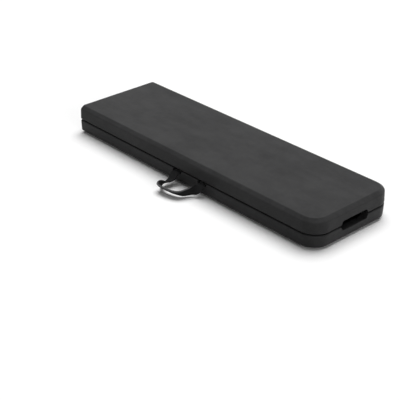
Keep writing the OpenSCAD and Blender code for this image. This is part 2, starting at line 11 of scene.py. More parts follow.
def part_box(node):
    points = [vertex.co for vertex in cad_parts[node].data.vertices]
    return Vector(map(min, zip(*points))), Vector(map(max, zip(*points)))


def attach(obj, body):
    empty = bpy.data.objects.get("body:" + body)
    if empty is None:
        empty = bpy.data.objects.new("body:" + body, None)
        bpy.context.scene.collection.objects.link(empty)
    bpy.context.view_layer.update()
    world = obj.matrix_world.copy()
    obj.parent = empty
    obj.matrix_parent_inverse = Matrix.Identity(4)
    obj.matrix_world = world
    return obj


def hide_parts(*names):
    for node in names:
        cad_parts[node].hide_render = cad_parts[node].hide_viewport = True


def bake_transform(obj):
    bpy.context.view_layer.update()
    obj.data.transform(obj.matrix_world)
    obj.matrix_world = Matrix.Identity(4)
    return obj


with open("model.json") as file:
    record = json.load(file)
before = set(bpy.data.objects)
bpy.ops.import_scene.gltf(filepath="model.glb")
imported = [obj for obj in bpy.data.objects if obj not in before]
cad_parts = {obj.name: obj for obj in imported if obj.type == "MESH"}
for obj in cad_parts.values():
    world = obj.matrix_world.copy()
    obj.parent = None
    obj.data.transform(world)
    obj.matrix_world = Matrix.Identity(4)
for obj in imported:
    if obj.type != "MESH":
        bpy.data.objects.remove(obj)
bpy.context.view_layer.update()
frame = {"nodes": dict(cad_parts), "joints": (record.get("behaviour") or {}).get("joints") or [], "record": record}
scene = bpy.context.scene
mm = 0.001

# Places that the frame gives
shell_low, shell_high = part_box("base_shell")
fold_end = shell_low.x
free_end = shell_high.x
seat_half_w = shell_high.y
half_t = shell_high.z
floor_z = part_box("base_front_rail")[0].z
handle_joint = next(j for j in frame["joints"] if j["name"] == "handle_swing")
strap_mid, strap_axis_y, strap_z = handle_joint["pos_m"]

# Ways to look
up = Vector((0, 0, 1))
down = -up
foldwards = Vector((-1, 0, 0))

# Steps of arcs, and what counts as flat, sharp or one point
arc_steps = 6
flat_cos = 0.999
flat_angle = math.radians(0.5)
sharp_angle = math.radians(40)
weld_gap = 0.01 * mm
profile_start = Vector((0, 0))

# Outside of a moulded half: rim and parting gap, corners, seat edge, wall and fold end. It grows from
# a block as high as the belt, and the spare length at the fold end is cut off again.
rim_w = 20 * mm
rim_round = 3.6 * mm
rim_gap = 2.8 * mm
rim_gap_in = 9 * mm
rim_gap_draft = 0.2 * mm
corner_r = 49 * mm
corner_steps = 24
edge_run = 11 * mm
edge_rise = 7.5 * mm
edge_blend = 6 * mm
wall_lean = 1.1 * mm
belt = 0.6 * mm
fold_spare = 80 * mm
fold_round = 2 * mm
fold_corner_r = 6 * mm
fold_rings = 3

# Recess for the legs, with its lip, draft and foot
recess_lip = 2 * mm
recess_foot = 1 * mm
recess_draft = 0.4 * mm
recess_fold_r = 4 * mm

# Openings in the rim and tack-off dimples in the panel. Cutters reach over the surface by the first value.
over = 2 * mm
lip_round = 0.5 * mm
lip_steps = 3
slot_w = 100 * mm
slot_floor_w = 85 * mm
slot_depth = 13 * mm
slot_r = 3 * mm
notch_w = 32 * mm
notch_depth = 9 * mm
ear_notch_w = 24 * mm
ear_notch_floor = floor_z + 2 * mm
dimple_pitch = 65 * mm
dimple_row = 50 * mm
dimple_r = 9 * mm
dimple_foot_r = 4.5 * mm
dimple_depth = 9 * mm
dimples_each_way = 6
dimple_sides = 28

# Webbing handle, and its stitches as their size across, through and along it
strap_w = 25 * mm
strap_t = 2.6 * mm
strap_edge_r = 1.17 * mm
strap_edge_steps = 4
strap_span = 96 * mm
steps_to_station = 10
tail_in = 19 * mm
bend_room = 4 * mm
tangent_reach = 0.5
grip_t = 5 * mm
grip_lean = math.radians(50)
stitch_pitch = 4 * mm
stitch_inset = 3 * mm
stitch_size = Vector((0.9, 0.7, 3.0)) * mm
stitch_search = 0.01
stitch_sharp_angle = math.radians(80)

# Stations of the loop from the left exit to the right one. Across is a share of the span, out and rise
# are in mm from the swing axis, turned goes from level to the leaning grip, and doubled from one layer
# of webbing to the grip's thickness.
Station = namedtuple("Station", "across out rise turned doubled")
strap_route = [
    (-0.50, 0, 0, 0, 0),
    (-0.50, 5, -1.5, 0, 0),
    (-0.50, 10, -8, 0.03, 0),
    (-0.50, 17, -15, 0.1, 0),
    (-0.50, 31, -18, 0.32, 0),
    (-0.50, 46, -17.5, 0.7, 0.3),
    (-0.46, 57, -17, 0.95, 0.8),
    (-0.34, 61, -17, 1, 1),
    (-0.16, 60, -17.5, 1, 1),
    (0.01, 57, -18, 1, 1),
    (0.15, 52, -18, 1, 1),
    (0.24, 44, -18, 1, 0.9),
    (0.30, 33, -17, 0.95, 0.85),
    (0.36, 23, -15, 0.8, 0.6),
    (0.43, 16, -12, 0.42, 0.15),
    (0.49, 10, -7, 0.13, 0),
    (0.50, 5, -1.5, 0, 0),
    (0.50, 0, 0, 0, 0),
]
strap_last = len(strap_route) - 1

# Stations between which the grip is stitched
stitched_from = 7.2
stitched_to = 11

# Fasteners: heights of heads, then shares of a head's radius or height
pan_head_h = 2.6 * mm
strap_head_h = 2.2 * mm
rivet_head_h = 1.8 * mm
pin_head_h = 2.5 * mm
pan_side = 0.35
pan_shank = 0.5
pin_shank = 0.55
cross_reach = 0.58
cross_half_w = 0.13
cross_floor = 0.4
screw_turn = 2.4
spin_steps = 28

# Eased edges of the CAD pieces
eased_edge = 0.4 * mm
eased_steps = 2

# Studio: floor, surroundings, lights as (side, strength, spread in degrees) and camera
floor_r = 14
floor_sides = 96
floor_drop = 0.2 * mm
floor_tone = (0.15, 0.15, 0.15)
white = (1, 1, 1)
sky_light = 0.16
sky_dim = 0.55
sky_dim_from = 0.45
sky_dim_to = 0.85
lights = {
    "overhead": ((-0.15, 0.3, 0.94), 2.75, 50),
    "end_fill": ((0.96, -0.1, 0.22), 0.95, 40),
}
camera_place = Vector((1.8094, -1.7252, 1.2908))
camera_way = Vector((-0.6490, 0.5872, -0.4837))
camera_lens = 95.03
camera_sensor = 36


def arc(radius, steps=arc_steps):
    """Quarter of a circle as pairs of sine and cosine times the radius."""
    angles = [math.pi / 2 * i / steps for i in range(steps + 1)]
    return [Vector((radius * math.sin(a), radius * math.cos(a))) for a in angles]


def eased(before, corner, after, radius, steps=arc_steps):
    """Points of the arc that rounds a corner of a profile."""
    back = (before - corner).normalized()
    ahead = (after - corner).normalized()
    half = back.angle(ahead) / 2
    middle = corner + (back + ahead).normalized() * radius / math.sin(half)
    start = corner + back * radius / math.tan(half) - middle
    end = corner + ahead * radius / math.tan(half) - middle
    turn = start.angle(end)
    shares = [i / steps for i in range(steps + 1)]
    return [
        middle + (start * math.sin((1 - s) * turn) + end * math.sin(s * turn)) / math.sin(turn)
        for s in shares
    ]


def inset_along(bm, face, profile):
    """Walks a face along a profile of [inwards, outwards] points and leaves a wall behind it."""
    for here, there in zip(profile, profile[1:]):
        bmesh.ops.inset_region(
            bm,
            faces=[face],
            use_even_offset=True,
            use_boundary=True,
            thickness=there.x - here.x,
            depth=there.y - here.y,
        )


def facing(bm, way):
    """The largest flat face that looks one way."""
    bm.normal_update()
    looking = [f for f in bm.faces if f.normal.dot(way) > flat_cos]
    return max(looking, key=lambda f: f.calc_area())


def rounded_edges(bm, edges, radius, steps=arc_steps):
    """Rounds edges of a body."""
    bmesh.ops.bevel(
        bm, geom=edges, offset=radius, segments=steps, profile=0.5, affect="EDGES", material=-1
    )


def rounded_points(bm, points, radius, steps=arc_steps):
    """Rounds corners of a flat face."""
    bmesh.ops.bevel(
        bm, geom=points, offset=radius, segments=steps, profile=0.5, affect="VERTICES", material=-1
    )


def block(bm, low, high):
    """A box between two corners."""
    made = bmesh.ops.create_cube(bm, size=1)["verts"]
    bmesh.ops.scale(bm, vec=high - low, verts=made)
    bmesh.ops.translate(bm, vec=(high + low) / 2, verts=made)


def pulled(bm, face):
    """Extrudes one face in place and gives back its new end."""
    made = bmesh.ops.extrude_face_region(bm, geom=[face, *face.edges, *face.verts])["geom"]
    return next(g for g in made if isinstance(g, bmesh.types.BMFace))


def fold_half_w(run):
    """Half the width of the fold end, at a distance past the start of its rounded corners."""
    return seat_half_w - fold_corner_r + math.sqrt(max(fold_corner_r ** 2 - run ** 2, 0))


def round_fold_end(bm, height):
    """Draws the fold end out, with rounded corners in plan and eased edges at seat and rim."""
    straight = fold_corner_r - fold_round
    rings = [(straight * i / fold_rings, 0) for i in range(fold_rings + 1)]
    rings += [(straight + p.x, fold_round - p.y) for p in arc(fold_round)[1:]]
    end = facing(bm, foldwards)
    for (run, ease), (next_run, next_ease) in zip(rings, rings[1:]):
        narrower = fold_half_w(next_run) / fold_half_w(run)
        lower = (height / 2 - next_ease) / (height / 2 - ease)
        end = pulled(bm, end)
        bmesh.ops.translate(bm, vec=foldwards * (next_run - run), verts=end.verts)
        bmesh.ops.scale(
            bm,
            vec=(1, narrower, lower),
            space=Matrix.Translation((0, 0, -height / 2)),
            verts=end.verts,
        )
    bm.normal_update()
    bmesh.ops.dissolve_faces(bm, faces=[f for f in bm.faces if f.normal.z > flat_cos])


def step_rim(bm):
    """Raises the land inside the parting gap, square at the fold end."""
    gap_w = rim_gap_in - rim_round
    inset_along(bm, facing(bm, up), [profile_start, Vector((gap_w, 0))])
    land = facing(bm, up)
    for side in (-1, 1):
        corner = [v for v in land.verts if v.co.x < 0 and v.co.y * side > 0]
        spot = (fold_end + fold_round + gap_w, side * (seat_half_w - rim_gap_in), corner[0].co.z)
        bmesh.ops.pointmerge(bm, verts=corner, merge_co=spot)
    inset_along(bm, facing(bm, up), [profile_start, Vector((rim_gap_draft, rim_gap / 2))])


def outer_half():
    """The closed outside of one half, seat face down, before anything is cut into it."""
    widest_z = half_t - rim_gap / 2 - rim_round
    bm = bmesh.new()
    block(
        bm,
        Vector((fold_end - fold_spare, -seat_half_w, widest_z - belt)),
        Vector((free_end, seat_half_w, widest_z)),
    )
    upright = [e for e in bm.edges if abs(e.verts[0].co.z - e.verts[1].co.z) > belt / 2]
    rounded_edges(bm, [e for e in upright if e.verts[0].co.x > 0], corner_r, corner_steps)

    # The wall's profile, inwards from the widest line and outwards to the seat plane
    top_of_wall = Vector((0, belt - widest_z))
    shoulder = Vector((wall_lean, -edge_rise))
    seat_edge = Vector((wall_lean + edge_run, 0))
    seat_mid = Vector((corner_r, 0))
    wall = [top_of_wall]
    wall += eased(top_of_wall, shoulder, seat_edge, edge_blend)
    wall += eased(shoulder, seat_edge, seat_mid, edge_blend)
    inset_along(bm, facing(bm, down), wall)
    inset_along(bm, facing(bm, up), [Vector((rim_round - p.y, p.x)) for p in arc(rim_round)])

    bmesh.ops.bisect_plane(
        bm,
        geom=bm.verts[:] + bm.edges[:] + bm.faces[:],
        plane_co=(fold_end + fold_corner_r, 0, 0),
        plane_no=-foldwards,
        clear_inner=True,
    )
    bmesh.ops.holes_fill(bm, edges=[e for e in bm.edges if e.is_boundary], sides=0)
    bmesh.ops.recalc_face_normals(bm, faces=bm.faces)
    round_fold_end(bm, widest_z + rim_round)
    step_rim(bm)
    return bm


def sink_recess(bm):
    """Sinks the recess for the legs into the rim side."""
    land_w = rim_w - recess_lip - rim_gap_in - rim_gap_draft
    inset_along(bm, facing(bm, up), [profile_start, Vector((land_w, 0))])
    square = [v for v in facing(bm, up).verts if v.co.x < fold_end + 2 * rim_w]
    rounded_points(bm, square, recess_fold_r)
    lip = [Vector((p.x, p.y - recess_lip)) for p in arc(recess_lip)]
    depth = half_t - floor_z
    foot_top = Vector((recess_lip + recess_draft, recess_foot - depth))
    foot = [foot_top + Vector((recess_foot - p.y, -p.x)) for p in arc(recess_foot)]
    inset_along(bm, facing(bm, up), lip + foot)


def slot_cutter(bm):
    """The half of the hand slot that this half holds."""
    flare = (slot_w - slot_floor_w) / 2 / slot_depth
    mouth = slot_w / 2 + over * flare
    outline = [
        (-mouth, half_t + over),
        (-slot_floor_w / 2, half_t - slot_depth),
        (slot_floor_w / 2, half_t - slot_depth),
        (mouth, half_t + over),
    ]
    corners = [bm.verts.new((free_end - rim_w - over, y, z)) for y, z in outline]
    bm.faces.new(corners)
    rounded_points(bm, corners[1:3], slot_r)
    mouth_end = pulled(bm, bm.faces[:][0])
    bmesh.ops.translate(bm, vec=(rim_w + 2 * over, 0, 0), verts=mouth_end.verts)
    bmesh.ops.recalc_face_normals(bm, faces=bm.faces)


def dimple_cutters(bm):
    """Cones that leave the tack-off dimples, clear of the brace bracket."""
    bracket_low, bracket_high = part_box("base_brace_bracket")
    slope = (dimple_r - dimple_foot_r) / dimple_depth
    middle = floor_z - dimple_depth / 2 + over / 2
    for i in range(-dimples_each_way, dimples_each_way + 1):
        for row in (-dimple_row, 0, dimple_row):
            x = i * dimple_pitch
            if row == 0 and bracket_low.x - dimple_r < x < bracket_high.x + dimple_r:
                continue
            bmesh.ops.create_cone(
                bm,
                cap_ends=True,
                segments=dimple_sides,
                radius1=dimple_foot_r,
                radius2=dimple_r + over * slope,
                depth=dimple_depth + over,
                matrix=Matrix.Translation((x, row, middle)),
            )


def rim_cutters(strapped):
    """All that is cut into one half."""
    bm = bmesh.new()
    slot_cutter(bm)
    dimple_cutters(bm)
    ear_y = (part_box("base_rear_hinge_ear")[0].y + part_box("lid_rear_hinge_ear")[1].y) / 2
    for side in (-1, 1):
        centre = side * ear_y
        block(
            bm,
            Vector((fold_end - over, centre - ear_notch_w / 2, ear_notch_floor)),
            Vector((fold_end + rim_w + over, centre + ear_notch_w / 2, half_t + over)),
        )
        if strapped:
            x = strap_mid + side * strap_span / 2
            block(
                bm,
                Vector((x - notch_w / 2, -seat_half_w - over, half_t - notch_depth)),
                Vector((x + notch_w / 2, -seat_half_w + rim_w + over, half_t + over)),
            )
    return bm


def grid_place(v):
    """A point's place, counted in weld gaps."""
    return tuple(round(c / weld_gap) for c in v.co)


def corner_row(face):
    """Numbers of a face's corners, from the lowest on."""
    row = [v.index for v in face.verts]
    first = row.index(min(row))
    return row[first:] + row[:first]


def settle(bm):
    """Puts points, faces and edges in a fixed order, so that a cut joins its holes alike on each run."""
    rank = {place: i for i, place in enumerate(sorted(grid_place(v) for v in bm.verts))}
    bm.verts.sort(key=lambda v: rank[grid_place(v)])
    bm.verts.index_update()
    bm.verts.ensure_lookup_table()
    rows = sorted(corner_row(f) for f in bm.faces)
    for face in bm.faces[:]:
        bm.faces.remove(face)
    for row in rows:
        bm.faces.new([bm.verts[i] for i in row])
    count = len(bm.verts)
    bm.edges.sort(key=lambda e: count * min(v.index for v in e.verts) + max(v.index for v in e.verts))


def carve(bm, cutters, lip=lip_round):
    """Cuts the cutters out of a body and, given a radius, rounds the lips that they leave."""
    tags = [bpy.data.materials.new("kept"), bpy.data.materials.new("cut")]
    settle(bm)
    settle(cutters)
    for face in cutters.faces:
        face.material_index = 1
    made = []
    for name, source in (("body", bm), ("cutters", cutters)):
        mesh = bpy.data.meshes.new(name)
        source.to_mesh(mesh)
        for tag in tags:
            mesh.materials.append(tag)
        thing = bpy.data.objects.new(name, mesh)
        scene.collection.objects.link(thing)
        made.append(thing)
    cut = made[0].modifiers.new("cut", "BOOLEAN")
    cut.object = made[1]
    cut.operation = "DIFFERENCE"
    cut.solver = "EXACT"
    depsgraph = bpy.context.evaluated_depsgraph_get()
    result = made[0].evaluated_get(depsgraph).to_mesh()
    bm.clear()
    bm.from_mesh(result)
    cutters.free()
    for thing in made:
        mesh = thing.data
        bpy.data.objects.remove(thing)
        bpy.data.meshes.remove(mesh)
    for tag in tags:
        bpy.data.materials.remove(tag)
    if lip:
        lips = [e for e in bm.edges if len({f.material_index for f in e.link_faces}) == 2]
        rounded_edges(bm, lips, lip, lip_steps)
    for face in bm.faces:
        face.material_index = 0


def finished(name, bm, material, sharp=sharp_angle):
    """Makes an object of a bmesh, smooth where it is round."""
    mesh = bpy.data.meshes.new(name)
    for face in bm.faces:
        face.smooth = True
    bm.to_mesh(mesh)
    bm.free()
    mesh.set_sharp_from_angle(angle=sharp)
    mesh.materials.append(material)
    piece = bpy.data.objects.new(name, mesh)
    scene.collection.objects.link(piece)
    normals = piece.modifiers.new("normals", "WEIGHTED_NORMAL")
    normals.keep_sharp = True
    return piece


def moulded_half(name, body, material, strapped, turned_over):
    """One seat half: the lid is the base turned over, rim to rim."""
    bm = outer_half()
    sink_recess(bm)
    carve(bm, rim_cutters(strapped))
    if turned_over:
        bmesh.ops.scale(bm, vec=(1, 1, -1), verts=bm.verts)
        bmesh.ops.translate(bm, vec=(0, 0, 2 * half_t), verts=bm.verts)
        bmesh.ops.reverse_faces(bm, faces=bm.faces)
    piece = finished(name, bm, material)
    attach(piece, body)
    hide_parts(f"{body}_shell")


def strap_station(u):
    """A smooth station of the loop: u counts the stations of the route."""
    i = min(int(u), strap_last - 1)
    f = u - i
    before, here, there, after = (
        Vector(strap_route[min(max(k, 0), strap_last)]) for k in (i - 1, i, i + 1, i + 2)
    )
    square = (2 * before - 5 * here + 4 * there - after) / 2
    cube = (3 * here - before - 3 * there + after) / 2
    return Station(*(here + (there - before) * (f / 2) + square * f ** 2 + cube * f ** 3))


def strap_point(u):
    """Middle of the webbing at a station."""
    station = strap_station(u)
    x = strap_mid + station.across * strap_span
    return Vector((x, strap_axis_y - station.out * mm, strap_z + station.rise * mm))


def strap_doubled(u):
    """How far the webbing is doubled at a station, from 0 to 1."""
    return max(strap_station(u).doubled, 0)


def strap_swell(u):
    """Thickness of the webbing at a station, in single thicknesses."""
    return 1 + (grip_t / strap_t - 1) * strap_doubled(u)


def strap_frame(u):
    """Place of the webbing's section: its columns are the width, the thickness and the way along."""
    ahead = strap_point(min(u + tangent_reach, strap_last))
    behind = strap_point(max(u - tangent_reach, 0))
    along = (ahead - behind).normalized()
    level = Vector((1 if u < strap_last / 2 else -1, 0, 0))
    leaning = Vector((0, -math.sin(grip_lean), math.cos(grip_lean)))
    turn = math.pi / 2 * strap_station(u).turned
    raw = level * math.cos(turn) + leaning * math.sin(turn)
    width = (raw - along * raw.dot(along)).normalized()
    made = Matrix((width, along.cross(width), along)).transposed().to_4x4()
    made.translation = strap_point(u)
    return made


def webbing_strap(material):
    """The handle: one length of webbing with a tail under each strap plate."""
    places = [i / steps_to_station for i in range(strap_last * steps_to_station + 1)]
    loop = [strap_frame(u) @ Matrix.Diagonal((1, strap_swell(u), 1, 1)) for u in places]
    shift = Matrix.Translation((0, strap_t + tail_in, 0))
    frames = [shift @ loop[0], *loop, shift @ loop[-1]]
    doubled = [0, *(strap_doubled(u) for u in places), 0]
    bm = bmesh.new()
    along_layer = bm.verts.layers.float.new("along")
    across_layer = bm.verts.layers.float.new("across")
    doubled_layer = bm.verts.layers.float.new("doubled")
    half_w = strap_w / 2
    half_h = strap_t / 2
    corners = [(-half_w, -half_h), (half_w, -half_h), (half_w, half_h), (-half_w, half_h)]
    made = [bm.verts.new((x, y, 0)) for x, y in corners]
    bm.faces.new(made)
    rounded_points(bm, made, strap_edge_r, strap_edge_steps)
    for v in bm.verts:
        v[across_layer] = v.co.x
    bmesh.ops.transform(bm, matrix=frames[0], verts=bm.verts)
    end = bm.faces[:][0]
    length = 0
    for here, there, share in zip(frames, frames[1:], doubled[1:]):
        length += (there.translation - here.translation).length
        end = pulled(bm, end)
        bmesh.ops.transform(bm, matrix=there @ here.inverted(), verts=end.verts)
        for v in end.verts:
            v[along_layer] = length
            v[doubled_layer] = share
    bmesh.ops.recalc_face_normals(bm, faces=bm.faces)
    piece = finished("webbing_strap", bm, material)
    swing = (strap_mid, strap_axis_y - bend_room, strap_z)
    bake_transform(piece)
    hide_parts("handle_strap", "strap_tails")


def grip_stitching(material):
    """Rows of thread along both edges of the doubled grip, on both faces."""
    bm = bmesh.new()
    size = Matrix.Diagonal((*stitch_size / 2, 1))
    row = strap_w / 2 - stitch_inset
    travelled = 0
    u = stitched_from
    here = strap_point(u)
    while u < stitched_to:
        u += stitch_search
        there = strap_point(u)
        travelled += (there - here).length
        here = there
        if travelled < stitch_pitch:
            continue
        travelled = 0
        surface = strap_t / 2 * strap_swell(u)
        for edge in (-1, 1):
            for face in (-1, 1):
                place = strap_frame(u) @ Matrix.Translation((edge * row, face * surface, 0))
                bmesh.ops.create_icosphere(bm, subdivisions=2, radius=1, matrix=place @ size)
    piece = finished("grip_stitching", bm, material, stitch_sharp_angle)
    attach(piece, "handle")


def solid_boxes(node):
    """Lowest and highest corners of each separate solid in a CAD node, in a fixed order."""
    bm = bmesh.new()
    bm.from_mesh(frame["nodes"][node].data)
    bmesh.ops.remove_doubles(bm, verts=bm.verts, dist=weld_gap)
    boxes = []
    left = set(bm.verts)
    while left:
        group = {left.pop()}
        edge = list(group)
        while edge:
            near = {e.other_vert(v) for v in edge for e in v.link_edges} & left
            left -= near
            group |= near
            edge = list(near)
        low = Vector(min(v.co[k] for v in group) for k in range(3))
        high = Vector(max(v.co[k] for v in group) for k in range(3))
        boxes.append((low, high))
    bm.free()
    return sorted(boxes, key=lambda box: [round(v / mm, 1) for v in box[0]])


def spun(profile):
    """A closed solid spun about Z from a profile of [radius, height] points."""
    bm = bmesh.new()
    points = [bm.verts.new((r, 0, z)) for r, z in profile]
    line = [bm.edges.new(pair) for pair in zip(points, points[1:])]
    bmesh.ops.spin(
        bm,
        geom=points + line,
        cent=(0, 0, 0),
        axis=up,
        angle=2 * math.pi,
        steps=spin_steps,
        use_merge=True,
    )
    bmesh.ops.remove_doubles(bm, verts=bm.verts, dist=weld_gap)
    bmesh.ops.recalc_face_normals(bm, faces=bm.faces)
    return bm


def set_of(name, one, places, body, node, material):
    """Puts a copy of one fastener at each place, for a CAD node's group of them."""
    mesh = bpy.data.meshes.new("one")
    one.to_mesh(mesh)
    one.free()
    bm = bmesh.new()
    for place in places:
        count = len(bm.verts)
        bm.from_mesh(mesh)
        bm.verts.ensure_lookup_table()
        bmesh.ops.transform(bm, matrix=place, verts=bm.verts[count:])
    bpy.data.meshes.remove(mesh)
    piece = finished(name, bm, material)
    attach(piece, body)
    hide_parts(node)


def cross_cutter(head_r, head_h):
    """The cross that a screwdriver fits in a screw's head."""
    reach = cross_reach * head_r
    half_w = cross_half_w * head_r
    bm = bmesh.new()
    block(
        bm,
        Vector((-half_w, -half_w, cross_floor * head_h)),
        Vector((half_w, half_w, head_h + over)),
    )
    bm.normal_update()
    for side in [f for f in bm.faces if not round(f.normal.z)]:
        outwards = side.normal * (reach - half_w)
        bmesh.ops.translate(bm, vec=outwards, verts=pulled(bm, side).verts)
    return bm


def pan_screws(node, body, head_h, material):
    """Pan-head screws with a cross recess, pointing down into the panel or, in the lid, up."""
    boxes = solid_boxes(node)
    low, high = boxes[0]
    head_r = (high.x - low.x) / 2
    shank_r = pan_shank * head_r
    side_h = pan_side * head_h
    dome = [(p.y * head_r, side_h + p.x * (head_h - side_h)) for p in arc(1)]
    tip = low.z - high.z + head_h
    screw = spun([(0, tip), (shank_r, tip), (shank_r, 0), (head_r, 0), *dome])
    carve(screw, cross_cutter(head_r, head_h), lip=0)
    upside = Matrix.Rotation(math.pi, 4, "X")
    places = []
    for k, (low, high) in enumerate(boxes):
        spot = (low + high) / 2
        spin = Matrix.Rotation(k * screw_turn, 4, "Z")
        if body == "lid":
            spot.z = low.z + head_h
            places.append(Matrix.Translation(spot) @ upside @ spin)
        else:
            spot.z = high.z - head_h
            places.append(Matrix.Translation(spot) @ spin)
    set_of(f"{node}_cross_head", screw, places, body, node, material)


def domed_pins(node, body, head_h, material):
    """Rivets and pins along Y with a domed head at each end."""
    boxes = solid_boxes(node)
    low, high = boxes[0]
    length = high.y - low.y
    head_r = (high.x - low.x) / 2
    shank_r = pin_shank * head_r
    dome = [(p.y * head_r, p.x * head_h) for p in arc(1)]
    near = [(r, head_h - z) for r, z in reversed(dome)]
    far = [(r, length - head_h + z) for r, z in dome]
    pin = spun([*near, (shank_r, head_h), (shank_r, length - head_h), *far])
    lying = Matrix.Rotation(-math.pi / 2, 4, "X")
    places = []
    for low, high in boxes:
        spot = (low + high) / 2
        spot.y = low.y
        places.append(Matrix.Translation(spot) @ lying)
    set_of(f"{node}_domed", pin, places, body, node, material)


class Wire:
    """A shader socket that takes part in Python arithmetic."""

    def __init__(self, shading, socket):
        self.shading = shading
        self.socket = socket

    def calc(self, operation, *values):
        """Adds a Math node."""
        return self.shading.node("ShaderNodeMath", 0, {"operation": operation}, dict(enumerate(values)))

    def __add__(self, other):
        return self.calc("ADD", self, other)

    __radd__ = __add__

    def __sub__(self, other):
        return self.calc("SUBTRACT", self, other)

    def __rsub__(self, other):
        return self.calc("SUBTRACT", other, self)

    def __mul__(self, other):
        return self.calc("MULTIPLY", self, other)

    __rmul__ = __mul__

    def __abs__(self):
        return self.calc("ABSOLUTE", self)

    def ripple(self, pitch):
        """A sine wave along this length."""
        return self.calc("SINE", self * (2 * math.pi / pitch))

    def or_more(self, other):
        """The larger of two values."""
        return self.calc("MAXIMUM", self, other)


class Shading:
    """The node tree of a material or of the surroundings, with its nodes made one call at a time."""

    def __init__(self, owner):
        owner.use_nodes = True
        self.owner = owner
        self.tree = owner.node_tree
        self.tree.nodes.clear()

    def node(self, kind, output=0, settings=None, inputs=None):
        """Makes a node, sets it up, joins its inputs and gives back one of its outputs."""
        made = self.tree.nodes.new(kind)
        for key, value in (settings or {}).items():
            setattr(made, key, value)
        for key, value in (inputs or {}).items():
            if isinstance(value, Wire):
                self.tree.links.new(value.socket, made.inputs[key])
            else:
                made.inputs[key].default_value = value
        return Wire(self, made.outputs[output]) if made.outputs else made

    def place(self):
        """The place on the object."""
        return self.node("ShaderNodeTexCoord", "Object")

    def part(self, axis):
        """One of X, Y and Z of the place on the object."""
        return self.node("ShaderNodeSeparateXYZ", axis, None, {"Vector": self.place()})

    def attribute(self, name):
        """A value that the mesh holds at each of its points."""
        return self.node("ShaderNodeAttribute", "Fac", {"attribute_name": name})

    def noise(self, scale, detail=2, roughness=0.5, where=None):
        """Noise from 0 to 1, with about as many spots to a metre as its scale."""
        inputs = {"Vector": where or self.place(), "Scale": scale, "Detail": detail, "Roughness": roughness}
        return self.node("ShaderNodeTexNoise", 0, None, inputs)

    def stretched(self, stretch):
        """The place on the object, scaled along each axis."""
        return self.node("ShaderNodeMapping", 0, None, {"Vector": self.place(), "Scale": stretch})

    def steps(self, value, low, high):
        """0 below low, 1 above high, smooth between."""
        settings = {"interpolation_type": "SMOOTHSTEP"}
        inputs = {"Value": value, "From Min": low, "From Max": high}
        return self.node("ShaderNodeMapRange", 0, settings, inputs)

    def mix(self, share, first, second):
        """Colour between two greys or colours."""
        inputs = {0: share}
        for key, colour in ((6, first), (7, second)):
            inputs[key] = colour if isinstance(colour, Wire) else (*colour, 1)
        return self.node("ShaderNodeMix", 2, {"data_type": "RGBA"}, inputs)

    def bump(self, height, distance, under=None):
        """Relief of a given depth, on top of another relief where there is one."""
        inputs = {"Height": height, "Distance": distance}
        if under:
            inputs["Normal"] = under
        return self.node("ShaderNodeBump", 0, None, inputs)

    def seen(self):
        """1 for what the camera sees itself, in a reflection or through glass."""
        kinds = ("Camera", "Glossy", "Transmission")
        itself, mirrored, through = (self.node("ShaderNodeLightPath", f"Is {kind} Ray") for kind in kinds)
        return itself.or_more(mirrored).or_more(through)

    def surface(self, **inputs):
        """Ends a material with one shader and gives the material back."""
        named = {key.replace("_", " "): value for key, value in inputs.items()}
        shader = self.node("ShaderNodeBsdfPrincipled", 0, None, named)
        self.node("ShaderNodeOutputMaterial", 0, None, {"Surface": shader})
        return self.owner


def new_material(name):
    """A material without nodes yet."""
    return Shading(bpy.data.materials.new(name))


def moulded_plastic():
    """Charcoal blow-moulded plastic: soft waviness, mottled shade, pebbled grain and rubbed edges."""
    dark = (0.0215, 0.0215, 0.022)
    pale = (0.0355, 0.0355, 0.036)
    worn = (0.05, 0.05, 0.05)
    wear = 0.3
    wear_down = 3 * mm
    wear_up = 2 * mm
    seat_fade = 1.2 * mm
    seat_flat = 0.1 * mm
    wave_depth = 1.5 * mm
    grain_depth = 0.12 * mm
    s = new_material("moulded_plastic")
    wave = s.noise(9, detail=1)
    grain = s.noise(900, roughness=0.6)
    mottle = s.noise(45, detail=4, roughness=0.65)
    cloud = s.noise(8, detail=3, roughness=0.55, where=s.stretched((0.7, 1.4, 1)))
    streak = s.noise(40, detail=3, roughness=0.6, where=s.stretched((0.3, 1, 1)))
    clouded = s.steps(cloud, 0.35, 0.65)
    streaked = s.steps(streak, 0.35, 0.65)
    blend = 0.55 * s.steps(mottle, 0.3, 0.7) + 0.28 * clouded + 0.17 * streaked

    from_parting = abs(s.part("Z") - half_t)
    shoulder_at = half_t - edge_rise
    shoulder = s.steps(from_parting, shoulder_at - wear_down, shoulder_at + wear_up)
    seat = s.steps(from_parting, half_t - seat_fade, half_t - seat_flat)
    scuff = s.steps(s.noise(160, detail=4, roughness=0.7), 0.56, 0.72)
    rubbed = (shoulder - seat) * scuff

    shade = s.mix(rubbed * wear, s.mix(blend, dark, pale), worn)
    rough = 0.44 + 0.08 * mottle + 0.03 * (1 - clouded) + 0.02 * (1 - streaked)
    normal = s.bump(grain, grain_depth, s.bump(wave, wave_depth))
    return s.surface(Base_Color=shade, Roughness=rough, Specular_IOR_Level=0.15, Normal=normal)


def coated_steel():
    """Black powder coat with a fine orange peel."""
    dark = (0.012, 0.012, 0.0125)
    pale = (0.018, 0.018, 0.0185)
    peel_depth = 0.05 * mm
    s = new_material("powder_coat")
    mottle = s.noise(120)
    normal = s.bump(s.noise(700), peel_depth)
    rough = 0.3 + 0.12 * mottle
    return s.surface(Base_Color=s.mix(mottle, dark, pale), Roughness=rough, Normal=normal)


